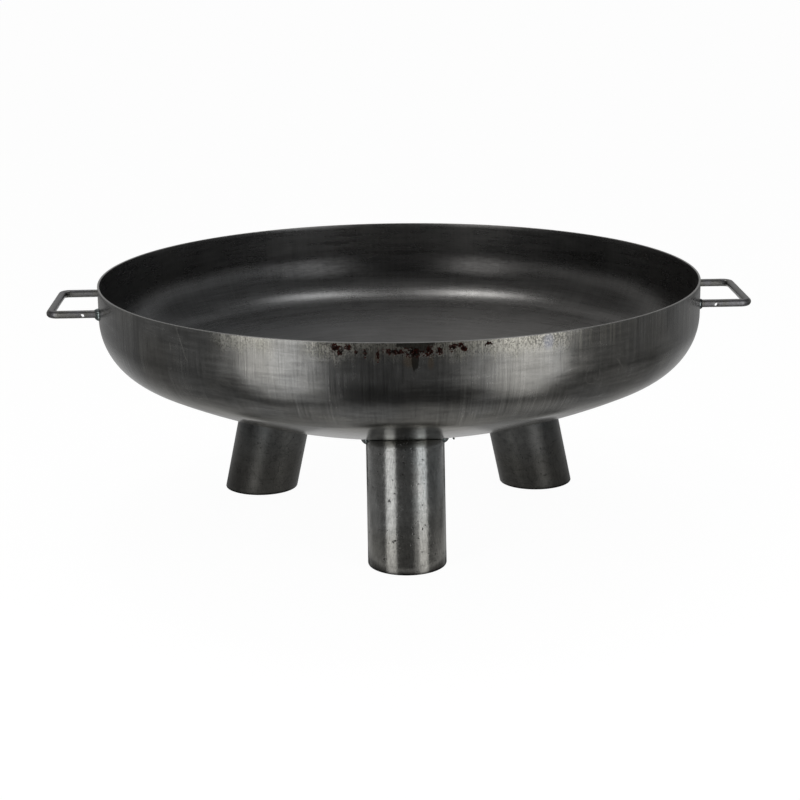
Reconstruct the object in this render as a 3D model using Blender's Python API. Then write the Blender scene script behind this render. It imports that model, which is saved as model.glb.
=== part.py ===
"""Three-legged steel fire bowl: a dished tank head on splayed tube legs, with two bar handles.

Metres, +Z up. The origin is on the floor under the middle of the bowl. The front leg
points to -Y and the handles stand out along X.
"""

import math

import bpy
from mathutils import Vector

# Bowl: a torispherical tank head, its crown radius equal to its diameter
HEAD_DIAMETER = 0.6096
WALL = 0.002
CROWN_RADIUS = HEAD_DIAMETER
KNUCKLE_RADIUS = 0.1 * HEAD_DIAMETER
STRAIGHT_FLANGE = 0.0335
RIM_HEIGHT = 0.249

# Legs: standard tube, square to the crown at the top and cut level at the floor
LEG_DIAMETER = 0.0761
LEG_WALL = 0.0029
LEG_CIRCLE = 0.145          # radius at which a leg's axis meets the crown
LEG_AZIMUTHS = {"leg_front": 270, "leg_rear_left": 150, "leg_rear_right": 30}

# Handles: round bar bent to a U, its arms level and square to the outer stretch
BAR_DIAMETER = 0.008
BAR_BEND_RADIUS = 0.008     # of the bar's centre line
BAR_BELOW_RIM = 0.025
ARM_SPACING = 0.102         # between the two arms' centre lines
HANDLE_REACH = 0.3495       # from the bowl's axis to the outer stretch's centre line
ARM_HOLE_DIAMETER = 0.004
ARM_HOLE_FROM_WALL = 0.016
ARM_HOLE_DROP = 0.001       # below the bar's centre line

# Welds
BEAD_LEG = 0.0045           # leg length of the fillet round a handle arm's end
STITCH_LEG = 0.004          # leg length of the stitch welds at a leg's top
STITCH_AZIMUTHS = {"right": -4, "rear": 90, "left": 184}
STITCH_HALF_ANGLE = 13

GAP = 0.0003                # clearance kept between pieces that touch

# Facets
BOWL_STEPS = 72
CROWN_STEPS = 7
KNUCKLE_STEPS = 6
LEG_STEPS = 48
BAR_STEPS = 16
BEND_STEPS = 5
BEAD_STEPS = 24
STITCH_STEPS = 6

BOWL_RADIUS = HEAD_DIAMETER / 2
KNUCKLE_CENTRE_RADIUS = BOWL_RADIUS - KNUCKLE_RADIUS
KNUCKLE_HEIGHT = RIM_HEIGHT - STRAIGHT_FLANGE
CROWN_ANGLE = math.asin(KNUCKLE_CENTRE_RADIUS / (CROWN_RADIUS - KNUCKLE_RADIUS))
CROWN_CENTRE = Vector((0, 0, KNUCKLE_HEIGHT + KNUCKLE_CENTRE_RADIUS / math.tan(CROWN_ANGLE)))
LEG_TILT = math.asin(LEG_CIRCLE / CROWN_RADIUS)
LEG_OUTER = LEG_DIAMETER / 2
LEG_INNER = LEG_OUTER - LEG_WALL
BAR_RADIUS = BAR_DIAMETER / 2
HANDLE_HEIGHT = RIM_HEIGHT - BAR_BELOW_RIM


def clear_scene():
    for obj in list(bpy.data.objects):
        bpy.data.objects.remove(obj, do_unlink=True)


def steel(name, colour, roughness):
    """A bare metal material."""
    material = bpy.data.materials.new(name)
    material.use_nodes = True
    shader = material.node_tree.nodes["Principled BSDF"]
    shader.inputs["Base Color"].default_value = (*colour, 1)
    shader.inputs["Metallic"].default_value = 1
    shader.inputs["Roughness"].default_value = roughness
    return material


def add_object(name, points, faces, material, sharp_angle=30):
    """A smooth-shaded mesh object whose edges over the sharp angle, in degrees, stay sharp."""
    mesh = bpy.data.meshes.new(name)
    mesh.from_pydata(points, [], faces)
    mesh.validate()
    mesh.shade_smooth()
    mesh.set_sharp_from_angle(angle=math.radians(sharp_angle))
    mesh.materials.append(material)
    obj = bpy.data.objects.new(name, mesh)
    bpy.context.scene.collection.objects.link(obj)
    return obj


def ring_quads(first, second, count):
    """Quads between two rings of count points whose numbers start at first and second."""
    quads = []
    for i in range(count):
        j = (i + 1) % count
        quads.append((first + i, second + i, second + j, first + j))
    return quads


# Bowl

def head_profile(crown_radius, knuckle_radius):
    """(radius, height) of one skin of the head, from the axis up to the rim."""
    profile = []
    for i in range(CROWN_STEPS):
        angle = CROWN_ANGLE * i / CROWN_STEPS
        profile.append((crown_radius * math.sin(angle), CROWN_CENTRE.z - crown_radius * math.cos(angle)))
    for i in range(KNUCKLE_STEPS + 1):
        angle = CROWN_ANGLE + (math.pi / 2 - CROWN_ANGLE) * i / KNUCKLE_STEPS
        radius = KNUCKLE_CENTRE_RADIUS + knuckle_radius * math.sin(angle)
        profile.append((radius, KNUCKLE_HEIGHT - knuckle_radius * math.cos(angle)))
    profile.append((profile[-1][0], RIM_HEIGHT))
    return profile


def make_bowl(material):
    """The head as one closed shell: outer skin up to the rim, flat lip, inner skin back down."""
    outer = head_profile(CROWN_RADIUS, KNUCKLE_RADIUS)
    inner = head_profile(CROWN_RADIUS - WALL, KNUCKLE_RADIUS - WALL)
    rings = outer[1:] + inner[:0:-1]
    points = [(0, 0, outer[0][1]), (0, 0, inner[0][1])]
    for radius, height in rings:
        for i in range(BOWL_STEPS):
            turn = 2 * math.pi * i / BOWL_STEPS
            points.append((radius * math.cos(turn), radius * math.sin(turn), height))
    faces = []
    for k in range(len(rings) - 1):
        start = 2 + k * BOWL_STEPS
        faces += [quad[::-1] for quad in ring_quads(start, start + BOWL_STEPS, BOWL_STEPS)]
    last = 2 + (len(rings) - 1) * BOWL_STEPS
    for i in range(BOWL_STEPS):
        j = (i + 1) % BOWL_STEPS
        faces.append((0, 2 + j, 2 + i))
        faces.append((1, last + i, last + j))
    return add_object("bowl", points, faces, material, sharp_angle=40)


# Legs

def leg_axes(azimuth):
    """Unit vectors of a leg: down along its axis, outwards across it, and sideways."""
    turn = math.radians(azimuth)
    outwards = Vector((math.cos(turn), math.sin(turn), 0))
    down = outwards * math.sin(LEG_TILT) - Vector((0, 0, math.cos(LEG_TILT)))
    side = Vector((0, 0, 1)).cross(outwards)
    return down, down.cross(side), side


def make_leg(name, azimuth, material):
    """An open tube. Its square top end clears the crown, and its foot is cut at the floor."""
    down, outwards, side = leg_axes(azimuth)
    top = math.sqrt(CROWN_RADIUS ** 2 - LEG_INNER ** 2) + GAP
    points = []
    for radius, at_floor in ((LEG_OUTER, False), (LEG_OUTER, True), (LEG_INNER, True), (LEG_INNER, False)):
        for i in range(LEG_STEPS):
            turn = 2 * math.pi * i / LEG_STEPS
            across = (outwards * math.cos(turn) + side * math.sin(turn)) * radius
            start = CROWN_CENTRE + across
            length = -start.z / down.z if at_floor else top
            points.append(start + down * length)
    faces = []
    for k in range(4):
        faces += ring_quads(k * LEG_STEPS, (k + 1) % 4 * LEG_STEPS, LEG_STEPS)
    return add_object(name, points, faces, material)


def crown_clearance(radius):
    """How far along a leg's axis the crown's skin, plus the gap, is from the crown's centre."""
    return math.sqrt((CROWN_RADIUS + GAP) ** 2 - radius ** 2)


def stitch_section(size):
    """(distance from the leg's axis, distance from the crown's centre) round one bead."""
    near = LEG_OUTER + GAP
    far = near + size
    root = crown_clearance(near)
    bulge = size * 0.62
    return [
        (near, root),
        (far, crown_clearance(far)),
        (near + bulge, crown_clearance(near + bulge) + bulge),
        (near, root + size),
    ]


def make_stitch(name, leg_azimuth, azimuth, material):
    """One short bead in the corner between a leg and the crown, on the leg's side at azimuth."""
    down, outwards, side = leg_axes(leg_azimuth)
    points = []
    for i in range(STITCH_STEPS + 1):
        along = 2 * i / STITCH_STEPS - 1
        turn = math.radians(azimuth - leg_azimuth + STITCH_HALF_ANGLE * along)
        across = outwards * math.cos(turn) + side * math.sin(turn)
        size = STITCH_LEG * (0.45 + 0.55 * math.sqrt(1 - 0.9 * along ** 2))
        for radius, depth in stitch_section(size):
            points.append(CROWN_CENTRE + across * radius + down * depth)
    faces = []
    for i in range(STITCH_STEPS):
        faces += ring_quads(4 * i + 4, 4 * i, 4)
    last = 4 * STITCH_STEPS
    faces.append((3, 2, 1, 0))
    faces.append((last, last + 1, last + 2, last + 3))
    return add_object(name, points, faces, material)


# Handles

def wall_reach(across, clearance):
    """Distance from the bowl's YZ plane to its wall, plus a clearance, at a distance across."""
    return math.sqrt((BOWL_RADIUS + clearance) ** 2 - across ** 2)


def handle_centre_line():
    """The bends of the right handle from its front arm to its rear arm, as (x, y, heading)."""
    bend_x = HANDLE_REACH - BAR_BEND_RADIUS
    bend_y = ARM_SPACING / 2 - BAR_BEND_RADIUS
    line = []
    for corner, first_heading in ((-1, 0), (1, 90)):
        for i in range(BEND_STEPS + 1):
            heading = math.radians(first_heading + 90 * i / BEND_STEPS)
            x = bend_x + BAR_BEND_RADIUS * math.sin(heading)
            y = corner * bend_y - BAR_BEND_RADIUS * math.cos(heading)
            line.append((x, y, heading))
    return line


def bar_ring(x, y, heading):
    """Points round the bar at one place of its centre line."""
    ring = []
    for i in range(BAR_STEPS):
        turn = 2 * math.pi * i / BAR_STEPS
        out = BAR_RADIUS * math.cos(turn)
        up = BAR_RADIUS * math.sin(turn)
        ring.append((x + out * math.sin(heading), y - out * math.cos(heading), HANDLE_HEIGHT + up))
    return ring


def arm_end(arm, heading):
    """The ring at an arm's end, coped to the bowl's round wall."""
    ring = bar_ring(0, arm * ARM_SPACING / 2, heading)
    return [(wall_reach(y, GAP), y, z) for _, y, z in ring]


def make_handle(name, side, material):
    """A bent bar on one side of the bowl: side is 1 on the right and -1 on the left."""
    rings = [arm_end(-1, 0)]
    rings += [bar_ring(*place) for place in handle_centre_line()]
    rings += [arm_end(1, math.pi)]
    points = [(side * x, y, z) for ring in rings for x, y, z in ring]
    faces = []
    for k in range(len(rings) - 1):
        faces += ring_quads(k * BAR_STEPS, (k + 1) * BAR_STEPS, BAR_STEPS)
    last = len(points) - BAR_STEPS
    faces.append(tuple(range(BAR_STEPS)))
    faces.append(tuple(range(last + BAR_STEPS - 1, last - 1, -1)))
    if side < 0:
        faces = [face[::-1] for face in faces]
    handle = add_object(name, points, faces, material)
    drill(handle, side, material)
    return handle


def drill(handle, side, material):
    """Cuts the small cross hole in the handle's front arm."""
    count = 20
    x = side * (wall_reach(ARM_SPACING / 2, 0) + ARM_HOLE_FROM_WALL)
    points = []
    for y in (-ARM_SPACING / 2 - BAR_DIAMETER, -ARM_SPACING / 2 + BAR_DIAMETER):
        for i in range(count):
            turn = 2 * math.pi * i / count
            radius = ARM_HOLE_DIAMETER / 2
            height = HANDLE_HEIGHT - ARM_HOLE_DROP + radius * math.sin(turn)
            points.append((x + radius * math.cos(turn), y, height))
    faces = ring_quads(0, count, count)
    faces.append(tuple(range(count)))
    faces.append(tuple(range(2 * count - 1, count - 1, -1)))
    cutter = add_object("hole_cutter_" + handle.name, points, faces, material)
    cutter.hide_render = True
    cutter.display_type = "WIRE"
    cut = handle.modifiers.new("arm_hole", "BOOLEAN")
    cut.operation = "DIFFERENCE"
    cut.solver = "EXACT"
    cut.object = cutter


def make_handle_weld(name, side, arm, material):
    """The fillet bead round an arm's end. side is 1 right, -1 left; arm is 1 rear, -1 front."""
    near = BAR_RADIUS + GAP
    bulge = 0.62 * BEAD_LEG
    section = ((near, 0), (near + BEAD_LEG, 0), (near + bulge, bulge), (near, BEAD_LEG))
    points = []
    for i in range(BEAD_STEPS):
        turn = 2 * math.pi * i / BEAD_STEPS
        for radius, stand_off in section:
            y = arm * ARM_SPACING / 2 + radius * math.cos(turn)
            z = HANDLE_HEIGHT + radius * math.sin(turn)
            points.append((side * (wall_reach(y, GAP) + stand_off), y, z))
    faces = []
    for i in range(BEAD_STEPS):
        quads = ring_quads(4 * i, 4 * ((i + 1) % BEAD_STEPS), 4)
        faces += quads if side > 0 else [quad[::-1] for quad in quads]
    return add_object(name, points, faces, material)


def main():
    clear_scene()
    bowl_steel = steel("bowl_steel", (0.16, 0.16, 0.155), 0.30)
    tube_steel = steel("tube_steel", (0.13, 0.13, 0.125), 0.35)
    bar_steel = steel("bar_steel", (0.17, 0.17, 0.16), 0.42)
    weld_steel = steel("weld_steel", (0.22, 0.23, 0.23), 0.30)
    make_bowl(bowl_steel)
    for leg, leg_azimuth in LEG_AZIMUTHS.items():
        make_leg(leg, leg_azimuth, tube_steel)
        for place, azimuth in STITCH_AZIMUTHS.items():
            make_stitch(f"{leg}_stitch_{place}", leg_azimuth, azimuth, weld_steel)
    for side_name, side in (("left", -1), ("right", 1)):
        make_handle("handle_" + side_name, side, bar_steel)
        for arm_name, arm in (("front", -1), ("rear", 1)):
            make_handle_weld(f"handle_weld_{side_name}_{arm_name}", side, arm, weld_steel)


main()
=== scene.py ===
"""Looks of the three-legged steel fire bowl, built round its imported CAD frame.

Metres, +Z up. The front leg points to -Y, the handles stand out along X, and the floor is z = 0.
"""

import math

import bpy
from mathutils import Matrix, Vector
from mathutils import noise as solid_noise


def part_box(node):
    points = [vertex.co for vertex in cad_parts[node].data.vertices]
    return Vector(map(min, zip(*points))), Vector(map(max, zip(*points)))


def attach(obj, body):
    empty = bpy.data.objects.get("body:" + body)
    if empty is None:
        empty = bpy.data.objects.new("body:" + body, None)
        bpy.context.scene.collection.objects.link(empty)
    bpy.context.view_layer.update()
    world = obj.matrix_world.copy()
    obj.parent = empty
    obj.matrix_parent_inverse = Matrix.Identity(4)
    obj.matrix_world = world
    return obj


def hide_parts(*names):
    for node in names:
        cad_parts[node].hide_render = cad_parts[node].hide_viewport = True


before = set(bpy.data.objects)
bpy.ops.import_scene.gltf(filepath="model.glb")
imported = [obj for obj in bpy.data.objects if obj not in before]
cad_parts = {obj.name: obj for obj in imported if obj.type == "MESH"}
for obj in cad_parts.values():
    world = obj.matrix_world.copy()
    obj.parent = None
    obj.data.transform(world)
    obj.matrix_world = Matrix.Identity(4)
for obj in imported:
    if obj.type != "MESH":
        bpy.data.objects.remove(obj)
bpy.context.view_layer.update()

# Sizes read from the frame
BOWL_LOW, BOWL_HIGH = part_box("bowl")
LEG_LOW, LEG_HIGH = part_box("leg_front")
HANDLE_LOW, HANDLE_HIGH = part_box("handle_right")
BOWL_RADIUS = BOWL_HIGH.x
RIM_HEIGHT = BOWL_HIGH.z
LEG_OUTER = LEG_HIGH.x
BAR_RADIUS = (HANDLE_HIGH.z - HANDLE_LOW.z) / 2
HANDLE_HEIGHT = (HANDLE_HIGH.z + HANDLE_LOW.z) / 2
HANDLE_REACH = HANDLE_HIGH.x - BAR_RADIUS
ARM_OFFSET = HANDLE_HIGH.y - BAR_RADIUS

# The head is torispherical: crown radius = diameter, knuckle radius = a tenth of it
WALL = 0.002
CROWN_RADIUS = 2 * BOWL_RADIUS
KNUCKLE_RADIUS = 0.2 * BOWL_RADIUS
KNUCKLE_CENTRE_RADIUS = BOWL_RADIUS - KNUCKLE_RADIUS
CROWN_ANGLE = math.asin(KNUCKLE_CENTRE_RADIUS / (CROWN_RADIUS - KNUCKLE_RADIUS))
CROWN_CENTRE = Vector((0, 0, BOWL_LOW.z + CROWN_RADIUS))
KNUCKLE_HEIGHT = CROWN_CENTRE.z - KNUCKLE_CENTRE_RADIUS / math.tan(CROWN_ANGLE)
LIP_ROUNDING = 0.0005

LEG_WALL = 0.0029
LEG_CIRCLE = 0.145          # radius at which a leg's axis meets the crown
LEG_TILT = math.asin(LEG_CIRCLE / CROWN_RADIUS)
LEG_INNER = LEG_OUTER - LEG_WALL
LEG_AZIMUTHS = {"leg_front": 270, "leg_rear_left": 150, "leg_rear_right": 30}
LEG_GAP = 0.0004            # open gap between a leg's top and the crown, bridged by the stitch welds
LEG_TOP_BEVEL = 0.0004
LEG_FOOT_BEVEL = 0.0007
SEAM_HEIGHT = 0.0006        # weld seam inside each tube
SEAM_WIDTH = 0.0016

BAR_BEND_RADIUS = 0.008
ARM_HOLE_RADIUS = 0.002
ARM_HOLE_FROM_WALL = 0.016
ARM_HOLE_DROP = 0.001
BAR_UNEVENNESS = 0.0001

BEAD_RISE = 0.0024          # how far a handle's weld spreads over the wall
BEAD_RUN = 0.0040           # and along the arm
SMALL_BEAD = 0.62           # size of the plainer handle welds against the shiny one
STITCH_LEG = 0.004
STITCH_AZIMUTHS = {"right": -4, "rear": 90, "left": 184}
STITCH_HALF_ANGLE = 13
WELD_OVERLAP = 0.0002       # how far weld metal and bar ends run into what they are fused to
SPATTER_PLACE = (0.0465, -0.1535)
SPATTER_RADIUS = 0.0011

# Facets
BOWL_STEPS = 288
LEG_STEPS = 128
BAR_STEPS = 32
HOLE_STEPS = 32
STITCH_STEPS = 36
BEAD_STEPS = 96
WELD_CORNERS = 9            # points over a weld's face
SPATTER_ROWS = 10
SPATTER_STEPS = 20

# The bowl's materials, in the order of their slots
OUTSIDE = 0
INSIDE = 1
EDGE = 2

# Marks on the outer wall, as ovals: (degrees to the right of the front, depth below the rim,
# half width, half height), the last three in millimetres
RUST_SPOTS = [
    (-12.3, 5.0, 4.0, 3.4), (-10.2, 4.6, 3.4, 2.8), (-11.5, 9.0, 3.0, 3.4),
    (-8.8, 9.0, 1.5, 2.0), (-7.4, 9.0, 1.4, 3.6), (-5.3, 11.0, 1.4, 5.2),
    (-2.5, 8.0, 10.0, 2.8), (0.6, 8.5, 8.5, 4.6), (3.1, 8.5, 3.8, 4.6),
    (4.9, 7.6, 3.4, 3.2), (7.1, 5.0, 3.6, 3.8), (8.1, 3.6, 5.0, 1.8),
    (8.9, 6.5, 2.8, 3.2), (13.1, 3.6, 3.2, 2.2),
]
SOOT_STAINS = [(0.8, 1.5, 17.0, 4.5), (2.0, 4.0, 9.0, 6.0), (0.8, 14.0, 3.4, 12.0)]
TAN_STAINS = [(-0.2, 17.0, 7.0, 7.0), (3.4, 19.0, 3.5, 7.0), (-5.4, 14.0, 3.0, 4.0)]
BLUE_STAINS = [(24.0, 7.0, 6.5, 9.0)]

# Scratches on the outer wall: (degrees at the rim, mm sideways for each mm down, from mm, to mm)
SCRATCHES = [
    (-43.6, 0.42, 0.5, 31.0), (-45.6, 0.10, 17.0, 24.0),
    (33.0, 0.9, 34.0, 44.0), (20.0, -2.5, 24.0, 30.0),
]
# Curved scratches: (degrees, depth of the centre, radius), the last two in millimetres
CURVED_SCRATCHES = [(33.5, 45.0, 9.0), (35.6, 42.0, 4.5), (34.6, 44.0, 6.5)]

# Colours of the marks
TAN = (0.30, 0.235, 0.17)
BLUE = (0.30, 0.32, 0.42)
SOOT = (0.026, 0.024, 0.020)
PALE_FILM = (0.12, 0.125, 0.115)
BROWN_FILM = (0.10, 0.065, 0.055)
BARE_SCRATCH = (0.60, 0.59, 0.55)
DARK_SPECK = (0.075, 0.070, 0.055)
DARK_OLIVE = (0.45, 0.44, 0.37)
PALE_OLIVE = (0.60, 0.58, 0.51)
PALE_STREAK = (0.50, 0.49, 0.43)
DARK_RUST = (0.010, 0.006, 0.005)
RED_RUST = (0.060, 0.017, 0.013)
BARE_GRIT = (0.44, 0.41, 0.37)

# Softboxes round the bowl, two tall ones and a low dim one: (degrees to the right of the front,
# distance from the axis, height of the middle, width, height, brightness)
SIDE_BOXES = [
    (-41.2, 1.1, 0.50, 0.51, 1.00, 1.52),
    (40.9, 1.1, 0.50, 0.47, 1.00, 1.50),
    (22.8, 1.1, 0.15, 0.23, 0.30, 0.40),
]
# Lights over the bowl: (x, y, z, size, brightness)
TOP_BOXES = [(-0.25, 0.28, 1.30, 0.20, 6.2), (0.28, 0.28, 1.30, 0.20, 3.9)]

FLOOR_HALF_SIZE = 30
FLOOR_DROP = 0.0002

# The camera's lens in mm, its angles in degrees, and its distance from what it looks at
CAMERA_LENS = 88
CAMERA_TURN = -1.7
CAMERA_TILT = 14.9665
CAMERA_ROLL = -0.65
CAMERA_AWAY = 2.0305
CAMERA_TARGET = (-0.00024, 0, 0.1160)


# Shader nodes

class Shading:
    """Adds nodes to one node tree. Each call returns the new node's output socket."""

    def __init__(self, tree, coordinates="Object"):
        self.tree = tree
        self.place = tree.nodes.new("ShaderNodeTexCoord").outputs[coordinates]

    def connect(self, value, socket):
        if isinstance(value, bpy.types.NodeSocket):
            self.tree.links.new(value, socket)
        elif socket.type == "RGBA" and len(value) == 3:
            socket.default_value = (*value, 1)
        else:
            socket.default_value = value

    def node(self, kind, inputs, output=0, **settings):
        node = self.tree.nodes.new(kind)
        for name, value in settings.items():
            setattr(node, name, value)
        for key, value in inputs.items():
            self.connect(value, node.inputs[key])
        return node.outputs[output]

    def math(self, operation, *values):
        return self.node("ShaderNodeMath", dict(enumerate(values)), operation=operation)

    def add(self, *values):
        total = values[0]
        for value in values[1:]:
            total = self.math("ADD", total, value)
        return total

    def times(self, *values):
        product = values[0]
        for value in values[1:]:
            product = self.math("MULTIPLY", product, value)
        return product

    def minus(self, first, second):
        return self.math("SUBTRACT", first, second)

    def inverse(self, value):
        """1 less a value."""
        return self.minus(1, value)

    def absolute(self, value):
        return self.math("ABSOLUTE", value)

    def split(self, vector):
        node = self.tree.nodes.new("ShaderNodeSeparateXYZ")
        self.tree.links.new(vector, node.inputs[0])
        return node.outputs[0], node.outputs[1], node.outputs[2]

    def vector(self, x, y, z):
        return self.node("ShaderNodeCombineXYZ", {0: x, 1: y, 2: z})

    def distance(self, first, second):
        return self.node("ShaderNodeVectorMath", {0: first, 1: second}, 1, operation="DISTANCE")

    def length(self, vector):
        return self.node("ShaderNodeVectorMath", {0: vector}, 1, operation="LENGTH")

    def scaled(self, vector, sizes):
        return self.node("ShaderNodeVectorMath", {0: vector, 1: sizes}, operation="MULTIPLY")

    def shifted(self, vector, by):
        return self.node("ShaderNodeVectorMath", {0: vector, 1: by}, operation="ADD")

    def between(self, value, low, high):
        """0 below low, 1 above high, and a smooth step between them."""
        inputs = {"Value": value, "From Min": low, "From Max": high}
        return self.node("ShaderNodeMapRange", inputs, interpolation_type="SMOOTHSTEP")

    def window(self, value, low, high, soft):
        """1 from low to high, fading to 0 over soft at each end."""
        rise = self.between(value, low - soft / 2, low + soft / 2)
        fall = self.between(value, high - soft / 2, high + soft / 2)
        return self.minus(rise, fall)

    def spread(self, value, low, high):
        """A 0 to 1 value taken to the range low to high."""
        return self.math("MULTIPLY_ADD", value, high - low, low)

    def swing(self, value, size):
        """A 0 to 1 value taken to the range -size to size."""
        return self.spread(value, -size, size)

    def noise(self, vector, scale, detail=3, rough=0.5, distort=0):
        inputs = {"Vector": vector, "Scale": scale, "Detail": detail}
        inputs.update({"Roughness": rough, "Distortion": distort})
        return self.node("ShaderNodeTexNoise", inputs)

    def mix(self, factor, first, second):
        inputs = {0: factor, 6: first, 7: second}
        return self.node("ShaderNodeMix", inputs, 2, data_type="RGBA")

    def mix_number(self, factor, first, second):
        return self.node("ShaderNodeMix", {0: factor, 2: first, 3: second})

    def brighten(self, colour, factor):
        inputs = {0: colour, 3: factor}
        return self.node("ShaderNodeVectorMath", inputs, operation="SCALE")

    def bump(self, height, distance):
        return self.node("ShaderNodeBump", {"Height": height, "Distance": distance, "Strength": 1.0})

    def seen_by_camera(self):
        """1 where the camera looks straight at the surface, 0 where it is mirrored or gives light."""
        return self.node("ShaderNodeLightPath", {}, "Is Camera Ray")

    def finish(self, colour, roughness, normal):
        shader = self.tree.nodes["Principled BSDF"]
        self.connect(1.0, shader.inputs["Metallic"])
        self.connect(colour, shader.inputs["Base Color"])
        self.connect(roughness, shader.inputs["Roughness"])
        self.connect(normal, shader.inputs["Normal"])


def new_material(name):
    material = bpy.data.materials.new(name)
    material.use_nodes = True
    return material, Shading(material.node_tree)


def round_the_axis(s):
    """(unit vector from the bowl's axis, distance from the axis, height) of the shaded point."""
    x, y, z = s.split(s.place)
    radius = s.math("SQRT", s.add(s.times(x, x), s.times(y, y), 1e-8))
    return s.math("DIVIDE", x, radius), s.math("DIVIDE", y, radius), radius, z


def wall_place(s):
    """(distance to the right of the front along the wall, depth below the rim, 0), as a vector."""
    x, y, z = s.split(s.place)
    turn = s.math("ARCTAN2", x, s.times(y, -1))
    across = s.times(turn, BOWL_RADIUS)
    return s.vector(across, s.minus(RIM_HEIGHT, z), 0)


def along_wall(degrees):
    return BOWL_RADIUS * math.radians(degrees)


def strokes(s, ux, uy, height, round_scale, height_scale, detail, rough):
    """Noise drawn out into strokes, level for a low round_scale and upright for a high one."""
    place = s.vector(s.times(ux, round_scale), s.times(uy, round_scale), s.times(height, height_scale))
    return s.noise(place, 1, detail, rough)


def nearest_oval(s, place, ovals):
    """How far a wall place is from the nearest oval's centre, as a share of that oval's size."""
    nearest = 9.0
    for degrees, depth, half_width, half_height in ovals:
        moved = s.shifted(place, (-along_wall(degrees), -depth / 1000, 0))
        away = s.length(s.scaled(moved, (1000 / half_width, 1000 / half_height, 0)))
        nearest = s.math("MINIMUM", nearest, away)
    return nearest


def ragged(s, nearest, noise, strength):
    """1 inside the ovals. Their edges break up where the noise is low."""
    inside = s.inverse(nearest)
    return s.between(s.add(inside, s.swing(noise, strength / 2)), 0.0, 0.14)


def scratch_mask(s, place):
    across, below, _ = s.split(place)
    mask = 0.0
    for degrees, slope, first, last in SCRATCHES:
        off = s.minus(s.minus(across, along_wall(degrees)), s.times(below, slope))
        line = s.inverse(s.between(s.absolute(off), 0.0002, 0.0008))
        mask = s.add(mask, s.times(line, s.window(below, first / 1000, last / 1000, 0.003)))
    for degrees, depth, radius in CURVED_SCRATCHES:
        away = s.distance(place, (along_wall(degrees), depth / 1000, 0))
        off = s.minus(away, radius / 1000)
        line = s.inverse(s.between(s.absolute(off), 0.0001, 0.0007))
        broken = s.between(s.noise(s.shifted(place, (radius, 0, 0)), 60, 2), 0.42, 0.55)
        mask = s.add(mask, s.times(line, broken, 0.6))
    return mask


def weld_heat(s):
    """1 at the handle welds, falling to 0 about 30 mm away from them."""
    heat = 0.0
    for side in (-1, 1):
        for arm in (-1, 1):
            away = s.distance(s.place, (side * BOWL_RADIUS, arm * ARM_OFFSET, HANDLE_HEIGHT))
            heat = s.math("MAXIMUM", heat, s.inverse(s.between(away, 0.008, 0.034)))
    return heat


def worn_specks(s, across, fine_upright):
    """0 in the dark specks of the worn band. They have the sharpest edges where it is most worn."""
    worn_most = s.add(
        s.window(across, along_wall(-17), along_wall(-8.5), 0.02),
        s.window(across, along_wall(20), along_wall(29), 0.02),
    )
    specks = s.noise(s.scaled(s.place, (1, 1, 0.75)), 640, 3, 0.7)
    specks = s.mix_number(worn_most, s.between(specks, 0.36, 0.56), s.between(specks, 0.46, 0.53))
    return s.times(specks, s.spread(s.between(fine_upright, 0.38, 0.60), 0.55, 1.0))


def worn_band(s, across, below, specks):
    """How worn the wall is below the rim: a ragged band with drips, on the front of the bowl."""
    wide = s.noise(s.vector(across, 0, 0), 38, 2)
    drips = s.noise(s.vector(across, s.times(below, 0.08), 0), 420, 3, 0.7)
    edge = s.add(s.spread(wide, -0.002, 0.022), s.spread(drips, -0.008, 0.014))
    band = s.inverse(s.between(s.minus(below, edge), -0.009, 0.008))
    left = s.window(across, along_wall(-35), along_wall(-24), 0.02)
    middle = s.window(across, along_wall(-17), along_wall(28), 0.03)
    return s.times(band, s.add(s.times(left, 0.7), middle), s.spread(specks, 0.75, 1.0))


def add_worn_band(s, colour, band, specks, blotches, upright):
    """The colour with the worn band on it, silvery and olive with dark specks."""
    olive = s.mix(s.between(blotches, 0.42, 0.58), DARK_OLIVE, PALE_OLIVE)
    olive = s.brighten(olive, s.spread(upright, 0.75, 1.25))
    return s.mix(s.times(band, 0.75), colour, s.mix(specks, DARK_SPECK, olive))


def add_pale_streaks(s, colour, across, below, upright):
    """The colour with pale upright streaks on it, to the right of the worn band."""
    streaks = s.times(
        s.window(across, along_wall(29), along_wall(40), 0.02),
        s.inverse(s.between(below, 0.010, 0.026)),
        s.between(upright, 0.50, 0.60),
    )
    return s.mix(s.times(streaks, 0.5), colour, PALE_STREAK)


def add_stains(s, colour, place, soot, upright):
    """The colour with tan, blue and sooty stains on it, and the film of the handle welds' heat."""
    tan = s.inverse(s.between(nearest_oval(s, place, TAN_STAINS), 0.4, 1.1))
    blue = s.inverse(s.between(nearest_oval(s, place, BLUE_STAINS), 0.4, 1.1))
    colour = s.mix(s.times(tan, s.spread(upright, 0.3, 0.9)), colour, TAN)
    colour = s.mix(s.times(blue, 0.32), colour, BLUE)
    colour = s.mix(s.times(soot, 0.9), colour, SOOT)
    heat = weld_heat(s)
    film = s.mix(s.between(heat, 0.25, 0.75), PALE_FILM, BROWN_FILM)
    return s.mix(s.times(heat, 0.7), colour, film)


def add_rust(s, colour, rust, pitting, grit):
    """The colour with dark red rust on it, and pale grit in the rust."""
    rust_colour = s.mix(s.between(pitting, 0.48, 0.58), DARK_RUST, RED_RUST)
    rust_colour = s.mix(s.between(grit, 0.62, 0.68), rust_colour, BARE_GRIT)
    return s.mix(rust, colour, rust_colour)


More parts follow.
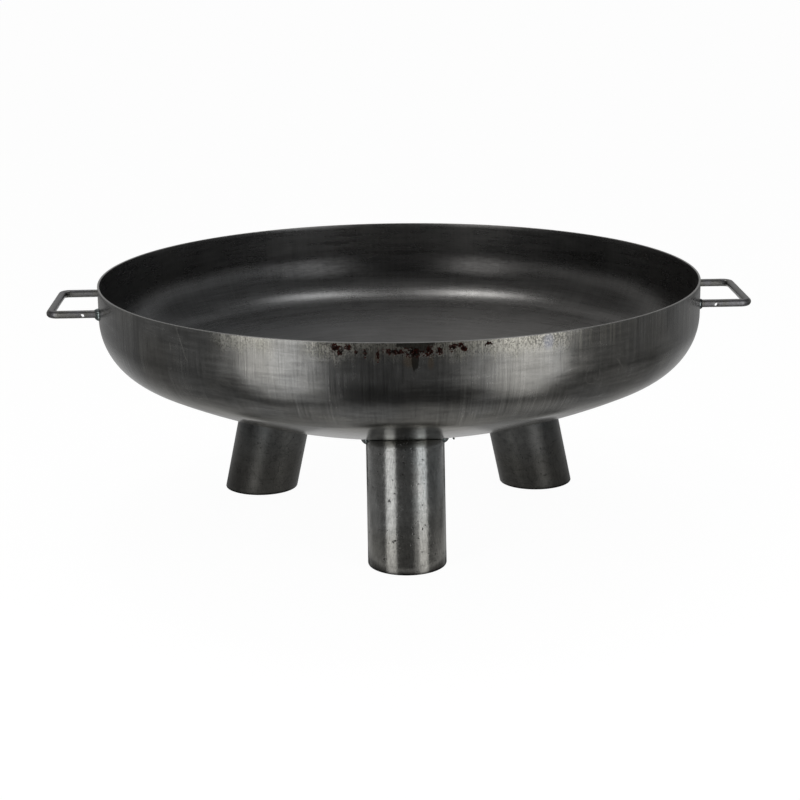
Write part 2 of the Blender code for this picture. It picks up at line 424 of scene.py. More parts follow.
def bowl_outside():
    """Dark mill steel, brushed up and down, with a worn band and rust below the rim."""
    material, s = new_material("bowl_outside")
    ux, uy, radius, z = round_the_axis(s)
    place = wall_place(s)
    across, below, _ = s.split(place)
    clouds = s.noise(s.place, 9, 4, 0.55)
    blotches = s.noise(s.shifted(s.place, (3, 1, 2)), 38, 5, 0.6)
    upright = strokes(s, ux, uy, z, 120, 7, 4, 0.7)
    fine_upright = strokes(s, ux, uy, z, 420, 30, 2, 0.6)
    level = strokes(s, ux, uy, z, 7, 230, 4, 0.65)
    grit = s.noise(s.place, 800, 2, 0.7)
    pitting = s.noise(s.place, 520, 3, 0.6)
    flange = s.between(radius, BOWL_RADIUS - 0.038, BOWL_RADIUS - 0.010)
    brushed_patches = s.between(s.noise(s.shifted(s.place, (7, 2, 4)), 13, 2), 0.42, 0.58)
    brushed = s.times(flange, s.spread(brushed_patches, 0.22, 1.0))
    unbrushed = s.minus(1.15, brushed)

    # Masks of the marks
    specks = worn_specks(s, across, fine_upright)
    band = worn_band(s, across, below, specks)
    soot = ragged(s, nearest_oval(s, place, SOOT_STAINS), upright, 1.6)
    rust = ragged(s, nearest_oval(s, place, RUST_SPOTS), pitting, 3.4)
    scratches = scratch_mask(s, place)

    tone = s.add(
        0.245,
        s.swing(clouds, 0.08),
        s.swing(blotches, 0.11),
        s.times(s.swing(upright, 0.20), brushed),
        s.times(s.swing(fine_upright, 0.11), flange),
        s.times(s.swing(level, 0.17), unbrushed),
        s.swing(grit, 0.05),
    )
    tint = s.mix(s.between(clouds, 0.42, 0.62), (0.995, 0.995, 0.97), (1.0, 0.98, 0.92))
    tint = s.scaled(tint, s.mix(flange, (1.0, 0.985, 0.93), (1.0, 1.0, 1.0)))
    colour = s.brighten(tint, tone)
    colour = add_worn_band(s, colour, band, specks, blotches, upright)
    colour = add_pale_streaks(s, colour, across, below, upright)
    colour = add_stains(s, colour, place, soot, upright)
    colour = s.mix(s.times(scratches, 0.5), colour, BARE_SCRATCH)
    colour = add_rust(s, colour, rust, pitting, grit)

    roughness = s.add(
        s.spread(flange, 0.17, 0.25),
        s.spread(blotches, -0.04, 0.05),
        s.times(s.swing(upright, 0.07), brushed),
        s.times(s.swing(level, 0.04), unbrushed),
        s.times(band, 0.06),
        s.times(rust, 0.4),
        s.times(soot, 0.2),
    )
    height = s.add(
        s.times(upright, brushed, 0.45),
        s.times(fine_upright, brushed, 0.15),
        s.times(level, unbrushed, 0.28),
        s.times(grit, 0.10),
        s.times(specks, band, 0.25),
        s.times(scratches, -0.5),
        s.times(rust, -1.2),
    )
    s.finish(colour, roughness, s.bump(height, 0.00013))
    return material


def bowl_inside():
    """Darker steel with strokes that run round the bowl, with painted shade along the bend below the
    rear wall and two painted highlight patches in it.
    """
    material, s = new_material("bowl_inside")
    ux, uy, radius, z = round_the_axis(s)
    x, y, _ = s.split(s.place)
    along = s.add(radius, z)
    clouds = s.noise(s.place, 8, 4, 0.55)
    blotches = s.noise(s.shifted(s.place, (5, 2, 7)), 30, 5, 0.6)
    level = strokes(s, ux, uy, along, 5, 210, 4, 0.65)
    upright = strokes(s, ux, uy, z, 90, 8, 3, 0.6)
    scuffs = strokes(s, ux, uy, along, 26, 620, 3, 0.6)
    speckle = s.noise(s.place, 230, 4, 0.7)
    wall = s.between(radius, KNUCKLE_CENTRE_RADIUS + 0.01, BOWL_RADIUS - 0.01)
    across = s.between(x, -0.22, 0.14)

    # The bend below the rear wall, darkened as painted shade, and the two patches of it where scuffs
    # and speckle are brightened as painted highlights
    bend = s.window(z, KNUCKLE_HEIGHT - 0.026, KNUCKLE_HEIGHT - 0.002, 0.020)
    bend = s.times(bend, s.between(y, 0.10, 0.22), s.window(x, -0.14, 0.16, 0.06))
    patches = s.add(s.window(x, -0.125, -0.025, 0.06), s.window(x, 0.066, 0.150, 0.06))
    highlight_patches = s.times(s.between(blotches, 0.30, 0.56), bend, patches)

    tone = s.add(
        0.165,
        s.swing(clouds, 0.05),
        s.swing(blotches, 0.03),
        s.swing(level, 0.06),
        s.times(s.swing(upright, 0.03), wall),
        # painted highlight: scuffs and speckle brighten the two patches of the rear bend
        s.times(s.spread(scuffs, -0.15, 0.17), highlight_patches),
        s.times(s.spread(speckle, -0.05, 0.06), highlight_patches),
        s.swing(speckle, 0.015),
    )
    cover = s.mix_number(wall, s.spread(across, 0.80, 1.30), 1.40)
    # painted shade: along the bend below the rear wall the tone drops to about a third
    cover = s.times(s.spread(bend, 1.0, 0.36), cover)
    tint = s.mix(across, (0.97, 0.985, 1.0), (1.0, 0.975, 0.945))
    colour = s.brighten(tint, s.times(tone, cover))
    low_floor = s.inverse(s.between(radius, 0.17, KNUCKLE_CENTRE_RADIUS))
    roughness = s.add(
        s.spread(low_floor, 0.28, 0.45),
        s.swing(blotches, 0.04),
        s.swing(level, 0.05),
        s.times(highlight_patches, s.spread(speckle, -0.05, 0.09)),
    )
    height = s.add(
        s.times(level, s.spread(wall, 0.5, 0.2)),
        s.times(upright, wall, 0.3),
        s.times(speckle, s.spread(highlight_patches, 0.05, 0.15)),
        s.times(scuffs, highlight_patches, 0.3),
    )
    s.finish(colour, roughness, s.bump(height, 0.00012))
    return material


def cut_edge():
    """The bare cut edge of the sheet."""
    material, s = new_material("cut_edge")
    marks = s.noise(s.place, 600, 3, 0.6)
    tone = s.spread(marks, 0.20, 0.56)
    s.finish(s.brighten((1.0, 0.99, 0.96), tone), s.spread(marks, 0.25, 0.5), s.bump(marks, 0.00010))
    return material


def tube_skin(name, dull_and_shaded):
    """Tube with mill scale: glossy and speckled at 0; at 1 dull with water marks and darker in tone,
    the darker tone partly painted shade for the rear legs under the bowl.
    """
    material, s = new_material(name)
    height_up = s.split(s.place)[2]
    mottle = s.noise(s.place, 60, 5, 0.62, 0.8)
    large = s.noise(s.shifted(s.place, (1, 4, 2)), 17, 3, 0.5)
    drawn = s.noise(s.scaled(s.place, (620, 620, 9)), 1, 3, 0.65)
    hoops = s.noise(s.scaled(s.place, (14, 14, 420)), 1, 3, 0.6)
    grain = s.noise(s.place, 760, 3, 0.75)
    marks = s.noise(s.shifted(s.place, (6, 0, 1)), 34, 3, 0.5, 0.5)
    rings = s.inverse(s.between(s.absolute(s.minus(marks, 0.5)), 0.0, 0.022))
    # painted shade in part: at 1 the base tone drops from 0.300 to 0.125, for the rear legs under the
    # bowl
    tone = s.add(
        0.300 - 0.175 * dull_and_shaded,
        s.swing(mottle, 0.13 - 0.07 * dull_and_shaded),
        s.swing(large, 0.04),
        s.swing(drawn, 0.14 - 0.12 * dull_and_shaded),
        s.swing(hoops, 0.06 - 0.04 * dull_and_shaded),
        s.swing(grain, 0.065 - 0.045 * dull_and_shaded),
        s.times(rings, -0.02 - 0.005 * dull_and_shaded),
    )

    # Pits and specks all over, a browner foot, and a painted contact shadow that darkens it where it
    # meets the floor
    pits = s.between(s.noise(s.shifted(s.place, (0, 3, 0)), 260, 2, 0.5), 0.665, 0.71)
    specks = s.between(grain, 0.36, 0.44)
    low_down = s.inverse(s.between(s.add(height_up, s.swing(large, 0.05)), 0.020, 0.075))
    # painted shade: the lowest 3 mm of the tube darken to a quarter, a contact shadow at the floor
    foot_contact_shadow = s.inverse(s.between(height_up, 0.0006, 0.0032))
    dark = s.times(
        s.spread(pits, 1.0, 0.35 + 0.4 * dull_and_shaded),
        s.spread(specks, 0.75, 1.0),
        s.spread(foot_contact_shadow, 1.0, 0.25),
    )
    tint = s.mix(s.between(large, 0.40, 0.56), (0.95, 0.99, 0.985), (0.995, 1.0, 0.97))
    tint = s.mix(low_down, tint, (1.0, 0.98, 0.91))
    colour = s.brighten(tint, s.times(tone, dark, s.spread(low_down, 1.0, 0.82)))

    roughness = s.add(
        0.190 + 0.26 * dull_and_shaded,
        s.spread(mottle, -0.06, 0.07),
        s.swing(grain, 0.04),
        s.times(pits, 0.2),
    )
    height = s.add(
        s.times(grain, 0.10),
        s.times(drawn, 0.45),
        s.times(hoops, 0.25),
        s.times(mottle, 1.0),
        s.times(pits, -0.8),
    )
    s.finish(colour, roughness, s.bump(height, 0.00010))
    return material


def bar_skin():
    """Satin hot rolled bar with slanting streaks of scale."""
    material, s = new_material("bar_skin")
    x, y, z = s.split(s.place)
    slanted = s.vector(s.times(s.add(x, y), 60), s.times(s.minus(x, y), 420), s.times(z, 240))
    streaks = s.noise(slanted, 1, 4, 0.6)
    scale_patches = s.noise(s.place, 120, 4, 0.6)
    grain = s.noise(s.place, 1100, 2, 0.7)
    tone = s.add(
        0.25,
        s.swing(streaks, 0.08),
        s.swing(scale_patches, 0.08),
        s.swing(grain, 0.04),
    )
    tint = s.mix(s.between(scale_patches, 0.4, 0.6), (1.0, 0.99, 0.93), (0.97, 0.96, 1.0))
    colour = s.brighten(tint, tone)
    roughness = s.add(0.36, s.spread(scale_patches, -0.06, 0.08), s.swing(grain, 0.05))
    height = s.add(s.times(streaks, 0.5), s.times(grain, 0.2), s.times(scale_patches, 0.4))
    s.finish(colour, roughness, s.bump(height, 0.00012))
    return material


def weld_skin(name, soot_cover):
    """Weld metal with a thin blue-green heat film, sooty over the share of it given."""
    material, s = new_material(name)
    film = s.noise(s.place, 260, 3, 0.6)
    soot = s.noise(s.shifted(s.place, (2, 2, 1)), 330, 3, 0.6)
    clean_below = 0.66 - 0.30 * soot_cover
    soot = s.between(soot, clean_below, clean_below + 0.10)
    colour = s.mix(s.between(film, 0.35, 0.65), (0.45, 0.50, 0.51), (0.20, 0.24, 0.235))
    colour = s.mix(s.times(soot, 0.8), colour, (0.05, 0.05, 0.05))
    roughness = s.add(0.20, s.times(soot, 0.25), s.spread(film, -0.04, 0.06))
    s.finish(colour, roughness, s.bump(film, 0.00010))
    return material


# Mesh building

def add_object(name, data):
    added = bpy.data.objects.new(name, data)
    bpy.context.scene.collection.objects.link(added)
    return added


def add_piece(name, points, faces, materials, replaced, face_materials=None):
    """A smooth-shaded piece that rides on the frame and stands for the CAD nodes given."""
    mesh = bpy.data.meshes.new(name)
    mesh.from_pydata(points, [], faces)
    for material in materials:
        mesh.materials.append(material)
    if face_materials is not None:
        mesh.polygons.foreach_set("material_index", face_materials)
    mesh.validate()
    mesh.shade_smooth()
    piece = add_object(name, mesh)
    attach(piece, "root")
    if replaced:
        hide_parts(*replaced)
    return piece


def turns(count):
    """The angles of count equal steps round a circle."""
    return [2 * math.pi * i / count for i in range(count)]


def ring_quads(first, second, count):
    """Quads between two rings of count points whose numbers start at first and second."""
    quads = []
    for i in range(count):
        j = (i + 1) % count
        quads.append((first + i, second + i, second + j, first + j))
    return quads


def arc(centre_radius, centre_height, radius, first, last, steps):
    """(radius, height) along an arc, from one angle to another, counted from straight down."""
    points = []
    for i in range(steps + 1):
        angle = first + (last - first) * i / steps
        across = centre_radius + radius * math.sin(angle)
        points.append((across, centre_height - radius * math.cos(angle)))
    return points


# Bowl

def head_skin(inset):
    """(radius, height) of one skin of the head, from near the axis up to just below the lip."""
    crown = arc(0, CROWN_CENTRE.z, CROWN_RADIUS - inset, 0, CROWN_ANGLE, 26)
    bend = KNUCKLE_RADIUS - inset
    knuckle = arc(KNUCKLE_CENTRE_RADIUS, KNUCKLE_HEIGHT, bend, CROWN_ANGLE, math.pi / 2, 18)
    radius = BOWL_RADIUS - inset
    top = RIM_HEIGHT - LIP_ROUNDING
    flange = [(radius, KNUCKLE_HEIGHT + (top - KNUCKLE_HEIGHT) * i / 8) for i in range(1, 9)]
    return crown[1:] + knuckle[1:] + flange


def lip():
    """(radius, height) over the rounded lip, from the outer skin to the inner one."""
    centre_height = RIM_HEIGHT - LIP_ROUNDING
    inner_radius = BOWL_RADIUS - WALL + LIP_ROUNDING
    quarter = math.pi / 2
    outer = arc(BOWL_RADIUS - LIP_ROUNDING, centre_height, LIP_ROUNDING, quarter, 2 * quarter, 4)
    inner = arc(inner_radius, centre_height, LIP_ROUNDING, 2 * quarter, 3 * quarter, 4)
    return outer[1:] + inner


def make_bowl():
    """The head as one closed shell, its outer skin, lip and inner skin each in its own material."""
    outer = head_skin(0)
    edge = lip()
    inner = head_skin(WALL)[-2::-1]
    rings = outer + edge + inner
    points = [(0, 0, BOWL_LOW.z), (0, 0, BOWL_LOW.z + WALL)]
    for radius, height in rings:
        for turn in turns(BOWL_STEPS):
            points.append((radius * math.cos(turn), radius * math.sin(turn), height))
    faces = []
    skins = []
    bands = [OUTSIDE] * (len(outer) - 1) + [EDGE] * len(edge) + [INSIDE] * len(inner)
    for k, skin in enumerate(bands):
        start = 2 + k * BOWL_STEPS
        faces += [quad[::-1] for quad in ring_quads(start, start + BOWL_STEPS, BOWL_STEPS)]
        skins += [skin] * BOWL_STEPS
    last = 2 + (len(rings) - 1) * BOWL_STEPS
    for i in range(BOWL_STEPS):
        j = (i + 1) % BOWL_STEPS
        faces.append((0, 2 + j, 2 + i))
        faces.append((1, last + i, last + j))
        skins += [OUTSIDE, INSIDE]
    materials = [bowl_outside(), bowl_inside(), cut_edge()]
    add_piece("fire_bowl", points, faces, materials, ["bowl"], skins)


# Legs

def leg_axes(azimuth):
    """Unit vectors of a leg: down along its axis, outwards across it, and sideways."""
    turn = math.radians(azimuth)
    outwards = Vector((math.cos(turn), math.sin(turn), 0))
    down = outwards * math.sin(LEG_TILT) - Vector((0, 0, math.cos(LEG_TILT)))
    side = Vector((0, 0, 1)).cross(outwards)
    return down, down.cross(side), side


def seam_ridge(turn):
    """How far the weld seam inside a tube stands proud at an angle round it."""
    off = math.remainder(turn - math.pi, 2 * math.pi) * LEG_INNER
    return SEAM_HEIGHT * math.exp(-(off / SEAM_WIDTH) ** 2)


def leg_rings():
    """Rings round a leg as (radius, share of the way down, offset along the axis, height at foot)."""
    bevel = LEG_TOP_BEVEL
    foot = LEG_FOOT_BEVEL
    rings = [(LEG_OUTER - bevel, 0, 0, 0), (LEG_OUTER, 0, bevel, 0)]
    rings += [(LEG_OUTER, i / 12, 0, 0) for i in range(1, 12)]
    rings += [(LEG_OUTER, 1, 0, foot), (LEG_OUTER - foot * 0.3, 1, 0, foot * 0.3)]
    rings += [(LEG_OUTER - foot, 1, 0, 0)]
    rings += [(LEG_INNER + foot / 2, 1, 0, 0), (LEG_INNER, 1, 0, foot / 2)]
    rings += [(LEG_INNER, 1 - i / 6, 0, 0) for i in range(1, 7)]
    return rings


def crown_depth(radius):
    """Along a leg's axis, how far the crown's skin is from the crown's centre."""
    return math.sqrt(CROWN_RADIUS ** 2 - radius ** 2)


def make_leg(name, azimuth, material):
    """An open tube, square to the crown at its top, its foot cut level and its sharp edges broken."""
    down, outwards, side = leg_axes(azimuth)
    top = crown_depth(LEG_INNER) + LEG_GAP
    rings = leg_rings()
    points = []
    for radius, share, offset, foot_height in rings:
        for turn in turns(LEG_STEPS):
            inset = seam_ridge(turn) if radius < (LEG_INNER + LEG_OUTER) / 2 else 0
            across = (outwards * math.cos(turn) + side * math.sin(turn)) * (radius - inset)
            start = CROWN_CENTRE + across
            full = (foot_height - start.z) / down.z
            points.append(start + down * (top + offset + (full - top) * share))
    faces = []
    for k in range(len(rings)):
        faces += ring_quads(k * LEG_STEPS, (k + 1) % len(rings) * LEG_STEPS, LEG_STEPS)
    add_piece(name + "_tube", points, faces, [material], [name])


def make_stitch(name, leg_azimuth, azimuth, material, seed):
    """A short rippled bead in the corner between a leg and the crown."""
    down, outwards, side = leg_axes(leg_azimuth)
    root = LEG_OUTER - 2 * WELD_OVERLAP
    root_depth = crown_depth(LEG_OUTER) - 2 * WELD_OVERLAP
    points = []
    for i in range(STITCH_STEPS + 1):
        along = 2 * i / STITCH_STEPS - 1
        turn = math.radians(azimuth - leg_azimuth + STITCH_HALF_ANGLE * along)
        across = outwards * math.cos(turn) + side * math.sin(turn)
        taper = (1 - abs(along) ** 2.6) ** 0.5
        ripple = 1 + 0.10 * abs(math.sin(9 * along + seed))
        lump = 1 + 0.22 * solid_noise.noise(Vector((seed * 3.1, along * 2.2, 0)))
        size = STITCH_LEG * (0.12 + 0.88 * taper) * ripple * lump
        for k in range(WELD_CORNERS):
            bend = math.pi / 2 * k / (WELD_CORNERS - 1)
            radius = LEG_OUTER - WELD_OVERLAP + size * math.cos(bend) ** 1.25
            depth = crown_depth(radius) - WELD_OVERLAP + size * math.sin(bend) ** 1.25
            points.append(CROWN_CENTRE + across * radius + down * depth)
        points.append(CROWN_CENTRE + across * root + down * root_depth)
    count = WELD_CORNERS + 1
    faces = []
    for i in range(STITCH_STEPS):
        faces += ring_quads(count * (i + 1), count * i, count)
    faces.append(tuple(range(count - 1, -1, -1)))
    faces.append(tuple(range(count * STITCH_STEPS, count * (STITCH_STEPS + 1))))
    add_piece(name + "_bead", points, faces, [material], [name])


# Handles

def wall_reach(across):
    """Distance from the bowl's YZ plane to its outer wall, at a distance across."""
    return math.sqrt(BOWL_RADIUS ** 2 - across ** 2)


def handle_centre_line():
    """(x, y, heading) along the right handle from its front arm to its rear arm."""
    bend_x = HANDLE_REACH - BAR_BEND_RADIUS
    bend_y = ARM_OFFSET - BAR_BEND_RADIUS
    wall = wall_reach(ARM_OFFSET)
    line = [(wall + (bend_x - wall) * i / 8, -ARM_OFFSET, 0.0) for i in range(1, 8)]
    for corner, first_heading in ((-1, 0), (1, 90)):
        if corner > 0:
            line += [(HANDLE_REACH, bend_y * (i / 6 - 1), math.pi / 2) for i in range(1, 12)]
        for i in range(13):
            heading = math.radians(first_heading + 90 * i / 12)
            x = bend_x + BAR_BEND_RADIUS * math.sin(heading)
            y = corner * bend_y - BAR_BEND_RADIUS * math.cos(heading)
            line.append((x, y, heading))
    line += [(wall + (bend_x - wall) * i / 8, ARM_OFFSET, math.pi) for i in range(7, 0, -1)]
    return line


def bar_ring(x, y, heading):
    """Points round the bar at one place of its centre line. The rolled bar is a little uneven."""
    ring = []
    for turn in turns(BAR_STEPS):
        dent = solid_noise.noise(Vector((x * 60, y * 60, 2 * math.cos(turn) + 5 * math.sin(turn))))
        radius = BAR_RADIUS - BAR_UNEVENNESS * (0.8 + dent)
        out = radius * math.cos(turn)
        up = radius * math.sin(turn)
        ring.append((x + out * math.sin(heading), y - out * math.cos(heading), HANDLE_HEIGHT + up))
    return ring


def arm_end(arm, heading):
    """The ring at an arm's end, coped to the bowl's round wall."""
    ring = bar_ring(0, arm * ARM_OFFSET, heading)
    return [(wall_reach(y) - WELD_OVERLAP, y, z) for _, y, z in ring]


def hole_cutter(side):
    """A waisted plug that drills the arm's cross hole and breaks its edges."""
    x = side * (wall_reach(ARM_OFFSET) + ARM_HOLE_FROM_WALL)
    flare = ARM_HOLE_RADIUS * 1.2
    depths = ((-BAR_RADIUS * 1.3, flare), (-BAR_RADIUS * 0.9, ARM_HOLE_RADIUS))
    depths += ((BAR_RADIUS * 0.9, ARM_HOLE_RADIUS), (BAR_RADIUS * 1.3, flare))
    points = []
    for depth, radius in depths:
        for turn in turns(HOLE_STEPS):
            height = HANDLE_HEIGHT - ARM_HOLE_DROP + radius * math.sin(turn)
            points.append((x + radius * math.cos(turn), depth - ARM_OFFSET, height))
    faces = []
    for k in range(len(depths) - 1):
        faces += ring_quads(k * HOLE_STEPS, (k + 1) * HOLE_STEPS, HOLE_STEPS)
    faces.append(tuple(range(HOLE_STEPS)))
    faces.append(tuple(range(4 * HOLE_STEPS - 1, 3 * HOLE_STEPS - 1, -1)))
    mesh = bpy.data.meshes.new("hole_cutter")
    mesh.from_pydata(points, [], faces)
    return add_object("hole_cutter", mesh)


def drill(handle, side):
    """Cuts the hole for good and leaves no modifier behind."""
    cutter = hole_cutter(side)
    cut = handle.modifiers.new("arm_hole", "BOOLEAN")
    cut.solver = "EXACT"
    cut.object = cutter
    depsgraph = bpy.context.evaluated_depsgraph_get()
    drilled = bpy.data.meshes.new_from_object(handle.evaluated_get(depsgraph))
    handle.modifiers.clear()
    handle.data = drilled
    drilled.shade_smooth()
    drilled.set_sharp_from_angle(angle=math.radians(40))
    bpy.data.objects.remove(cutter, do_unlink=True)


def make_handle(name, side, material):
    """A bent bar on one side of the bowl: side is 1 on the right and -1 on the left."""
    rings = [arm_end(-1, 0)]
    rings += [bar_ring(*place) for place in handle_centre_line()]
    rings += [arm_end(1, math.pi)]
    points = [(side * x, y, z) for ring in rings for x, y, z in ring]
    faces = []
    for k in range(len(rings) - 1):
        faces += ring_quads(k * BAR_STEPS, (k + 1) * BAR_STEPS, BAR_STEPS)
    last = len(points) - BAR_STEPS
    faces.append(tuple(range(BAR_STEPS)))
    faces.append(tuple(range(last + BAR_STEPS - 1, last - 1, -1)))
    if side < 0:
        faces = [face[::-1] for face in faces]
    handle = add_piece(name + "_bar", points, faces, [material], [name])
    drill(handle, side)


def make_handle_bead(name, side, arm, size, material, seed):
    """The rippled fillet round an arm's end. side is 1 right, -1 left; arm is 1 rear, -1 front."""
    points = []
    for turn in turns(BEAD_STEPS):
        ripple = 1 + 0.09 * abs(math.sin(5.5 * turn + seed))
        lump = 1 + 0.16 * solid_noise.noise(Vector((math.cos(turn) * 1.3, math.sin(turn) * 1.3, seed)))
        rise = BEAD_RISE * size * ripple * lump * (1 - 0.3 * math.sin(turn))
        run = BEAD_RUN * size * ripple * lump
        for k in range(WELD_CORNERS):
            bend = math.pi / 2 * k / (WELD_CORNERS - 1)
            radius = BAR_RADIUS - 1.5 * WELD_OVERLAP + rise * math.cos(bend) ** 1.3
            stand_off = run * math.sin(bend) ** 1.3 - WELD_OVERLAP
            y = arm * ARM_OFFSET + radius * math.cos(turn)
            z = HANDLE_HEIGHT + radius * math.sin(turn)
            points.append((side * (wall_reach(y) + stand_off), y, z))
        root = BAR_RADIUS - 3 * WELD_OVERLAP
        y = arm * ARM_OFFSET + root * math.cos(turn)
        z = HANDLE_HEIGHT + root * math.sin(turn)
        points.append((side * (wall_reach(y) - 2 * WELD_OVERLAP), y, z))
    count = WELD_CORNERS + 1
    faces = []
    for i in range(BEAD_STEPS):
        quads = ring_quads(count * i, count * ((i + 1) % BEAD_STEPS), count)
        faces += quads if side > 0 else [quad[::-1] for quad in quads]
    add_piece(name + "_bead", points, faces, [material], [name])


def make_spatter(material):
    """A ball of weld spatter stuck to the crown, just right of the front leg's right weld."""
    x, y = SPATTER_PLACE
    outwards = Vector((x, y, -math.sqrt(CROWN_RADIUS ** 2 - x * x - y * y))).normalized()
    centre = CROWN_CENTRE + outwards * (CROWN_RADIUS + SPATTER_RADIUS * 0.9)
    points = []
    for k in range(SPATTER_ROWS):
        down = math.pi * (k + 0.5) / SPATTER_ROWS
        wide = math.sin(down)
        for turn in turns(SPATTER_STEPS):
            ray = Vector((wide * math.cos(turn), wide * math.sin(turn), -math.cos(down)))
            points.append(centre + ray * SPATTER_RADIUS * (1 + 0.25 * solid_noise.noise(ray * 1.3)))
    faces = []
    for k in range(SPATTER_ROWS - 1):
        quads = ring_quads(k * SPATTER_STEPS, (k + 1) * SPATTER_STEPS, SPATTER_STEPS)
        faces += [quad[::-1] for quad in quads]
    faces.append(tuple(range(SPATTER_STEPS - 1, -1, -1)))
    faces.append(tuple(range((SPATTER_ROWS - 1) * SPATTER_STEPS, SPATTER_ROWS * SPATTER_STEPS)))
    add_piece("weld_spatter_ball", points, faces, [material], [])


# Studio

def add_softbox(place, aim, width, height, brightness):
    """A flat soft light at a place, facing the point aimed at, that the camera doesn't see."""
    data = bpy.data.lights.new("softbox", "AREA")
    data.shape = "RECTANGLE"
    data.size = width
    data.size_y = height
    data.energy = brightness * width * height * math.pi
    softbox = add_object("softbox", data)
    softbox.location = place
    softbox.rotation_euler = (Vector(place) - Vector(aim)).to_track_quat("Z", "Y").to_euler()
    softbox.visible_camera = False


def make_softboxes():
    for degrees, away, height, width, tall, brightness in SIDE_BOXES:
        turn = math.radians(degrees)
        place = (away * math.sin(turn), -away * math.cos(turn), height)
        add_softbox(place, (0, 0, height), width, tall, brightness)
    for x, y, z, size, brightness in TOP_BOXES:
        add_softbox((x, y, z), (x, y, 0), size, size, brightness)


def room_light(s):
    """How bright the room is in each direction: brightest low behind the bowl and high at the back."""
    x, y, z = s.split(s.place)
    azimuth = s.math("DEGREES", s.math("ARCTAN2", x, s.times(y, -1)))
    elevation = s.math("DEGREES", s.math("ARCSINE", z))
    sideways = s.absolute(azimuth)
    in_front = s.inverse(s.between(sideways, 25, 75))
    in_front = s.times(in_front, s.spread(s.between(elevation, 8, 34), 0.035, -0.05))
    reach = s.minus(elevation, s.times(s.between(sideways, 100, 150), 14))
    backdrop = s.times(s.between(sideways, 78, 150), s.inverse(s.between(reach, 4, 24)))
    beside = s.times(s.window(sideways, 62, 114, 26), s.inverse(s.between(elevation, 12, 25)))
    overhead = s.between(elevation, 38, 72)
    ceiling = s.times(s.between(elevation, 20, 44), s.inverse(s.between(elevation, 44, 82)))
    ceiling = s.times(ceiling, s.between(sideways, 126, 170))
    around = s.add(s.times(backdrop, 0.29), s.times(beside, 0.10), s.times(overhead, 0.09))
    return s.add(0.09, in_front, around, s.times(ceiling, 0.63))


def make_studio():
    """A dim room with a brighter backdrop behind the bowl. The camera itself sees white."""
    world = bpy.data.worlds.new("studio")
    world.use_nodes = True
    bpy.context.scene.world = world
    s = Shading(world.node_tree, "Generated")
    background = world.node_tree.nodes["Background"]
    background.inputs["Color"].default_value = (1, 1, 1, 1)
    strength = s.mix_number(s.seen_by_camera(), room_light(s), 1.0)
    s.connect(strength, background.inputs["Strength"])


def floor_glow(s, off_middle, y):
    """The light that the steel sees on the floor: under the bowl, behind it and at its sides, with a
    painted shadow round the front leg's foot.
    """
    from_middle = s.length(s.scaled(s.place, (1 / 0.33, 1 / 0.42, 0)))
    under_front = s.inverse(s.between(from_middle, 0.90, 1.02))
    under_front = s.times(under_front, s.inverse(s.between(y, -0.22, -0.08)))
    under_middle = s.inverse(s.between(from_middle, 0.27, 0.78))
    under_bowl = s.add(s.times(under_front, 0.20), s.times(under_middle, 0.25))
    # painted shadow: the glow under the bowl fades out round the front leg's foot
    foot = s.between(s.distance(s.place, (0, LEG_LOW.y + LEG_OUTER, 0)), 0.040, 0.085)
    behind = s.times(s.between(y, 0.0, 0.50), s.inverse(s.between(off_middle, 0.3, 0.7)))
    at_sides = s.times(s.window(off_middle, 0.27, 0.62, 0.14), s.window(y, -0.30, 0.40, 0.20))
    return s.add(0.02, s.times(under_bowl, foot), s.times(behind, 0.42), s.times(at_sides, 0.09))


def floor_in_steel(s):
    """The floor as the steel sees it: a soft grey mirror, darker in front, with a glow."""
    x, y, _ = s.split(s.place)
    off_middle = s.absolute(x)
    glow = s.node("ShaderNodeEmission", {"Strength": floor_glow(s, off_middle, y)})
    near_middle = s.inverse(s.between(off_middle, 0.20, 0.32))
    strip = s.times(s.window(y, -0.62, -0.34, 0.12), near_middle)
    grey = s.brighten((1, 1, 1), s.spread(strip, 0.72, 0.28))
    mirror = s.node("ShaderNodeBsdfGlossy", {"Color": grey, "Roughness": 0.12})
    return s.node("ShaderNodeAddShader", {0: glow, 1: mirror})


def floor_skin():
    """Near white to the camera, and the glowing grey mirror to the steel."""
    material, s = new_material("pale_floor")
    shader = s.tree.nodes["Principled BSDF"]
    shader.inputs["Base Color"].default_value = (0.12, 0.12, 0.12, 1)
    shader.inputs["Roughness"].default_value = 1
    shader.inputs["Specular IOR Level"].default_value = 0
    shader.inputs["Emission Color"].default_value = (1, 1, 1, 1)
    shader.inputs["Emission Strength"].default_value = 0.96
    both = {0: s.seen_by_camera(), 1: floor_in_steel(s), 2: shader.outputs[0]}
    surface = s.tree.nodes["Material Output"].inputs["Surface"]
    s.connect(s.node("ShaderNodeMixShader", both), surface)
    return material


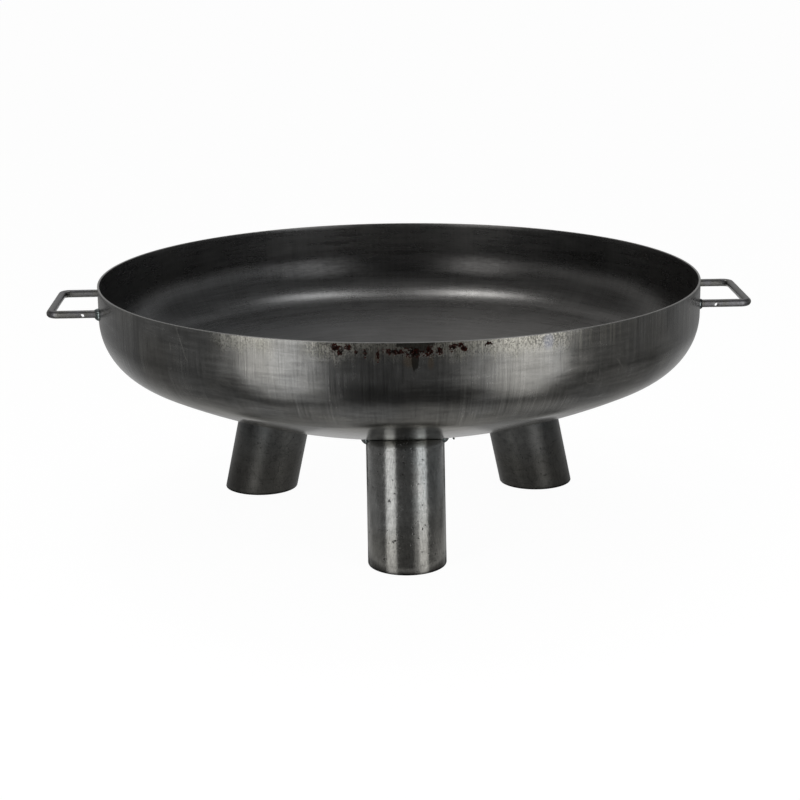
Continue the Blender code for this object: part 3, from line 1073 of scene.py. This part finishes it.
def make_floor():
    """A plain pale floor, just far enough below the feet not to touch them."""
    mesh = bpy.data.meshes.new("floor")
    size = FLOOR_HALF_SIZE
    corners = [(-size, -size, 0), (size, -size, 0), (size, size, 0), (-size, size, 0)]
    mesh.from_pydata(corners, [], [(0, 1, 2, 3)])
    mesh.materials.append(floor_skin())
    floor = add_object("floor", mesh)
    floor.location.z = -FLOOR_DROP


def make_camera():
    """The camera, 2 m away, 15 degrees up and a little to the left."""
    data = bpy.data.cameras.new("camera")
    data.sensor_width = 36
    data.lens = CAMERA_LENS
    camera = add_object("camera", data)
    turned = Matrix.Rotation(math.radians(CAMERA_TURN), 4, "Z")
    tilted = Matrix.Rotation(math.pi / 2 - math.radians(CAMERA_TILT), 4, "X")
    rolled = Matrix.Rotation(math.radians(CAMERA_ROLL), 4, "Z")
    target = Matrix.Translation(CAMERA_TARGET)
    away = Matrix.Translation((0, 0, CAMERA_AWAY))
    camera.matrix_world = turned @ target @ tilted @ rolled @ away
    bpy.context.scene.camera = camera


def make_object():
    make_bowl()
    glossy_tube = tube_skin("tube_glossy", 0.0)
    dull_shaded_tube = tube_skin("tube_dull_shaded", 1.0)
    bar = bar_skin()
    shiny_weld = weld_skin("weld_shiny", 0.3)
    sooty_weld = weld_skin("weld_sooty", 0.92)
    seed = 0
    for leg, leg_azimuth in LEG_AZIMUTHS.items():
        # the rear legs take the duller, darker tube skin, its darker tone partly painted shade under
        # the bowl
        make_leg(leg, leg_azimuth, glossy_tube if leg == "leg_front" else dull_shaded_tube)
        for place, azimuth in STITCH_AZIMUTHS.items():
            seed += 1
            make_stitch(f"{leg}_stitch_{place}", leg_azimuth, azimuth, sooty_weld, seed)
    for side_name, side in (("left", -1), ("right", 1)):
        make_handle("handle_" + side_name, side, bar)
        for arm_name, arm in (("front", -1), ("rear", 1)):
            seed += 1
            shiny = side_name == "left" and arm_name == "front"
            weld = shiny_weld if shiny else sooty_weld
            size = 1.0 if shiny else SMALL_BEAD
            make_handle_bead(f"handle_weld_{side_name}_{arm_name}", side, arm, size, weld, seed)
    make_spatter(sooty_weld)


make_object()
make_studio()
make_softboxes()
make_floor()
make_camera()
bpy.context.scene.view_settings.view_transform = "Standard"
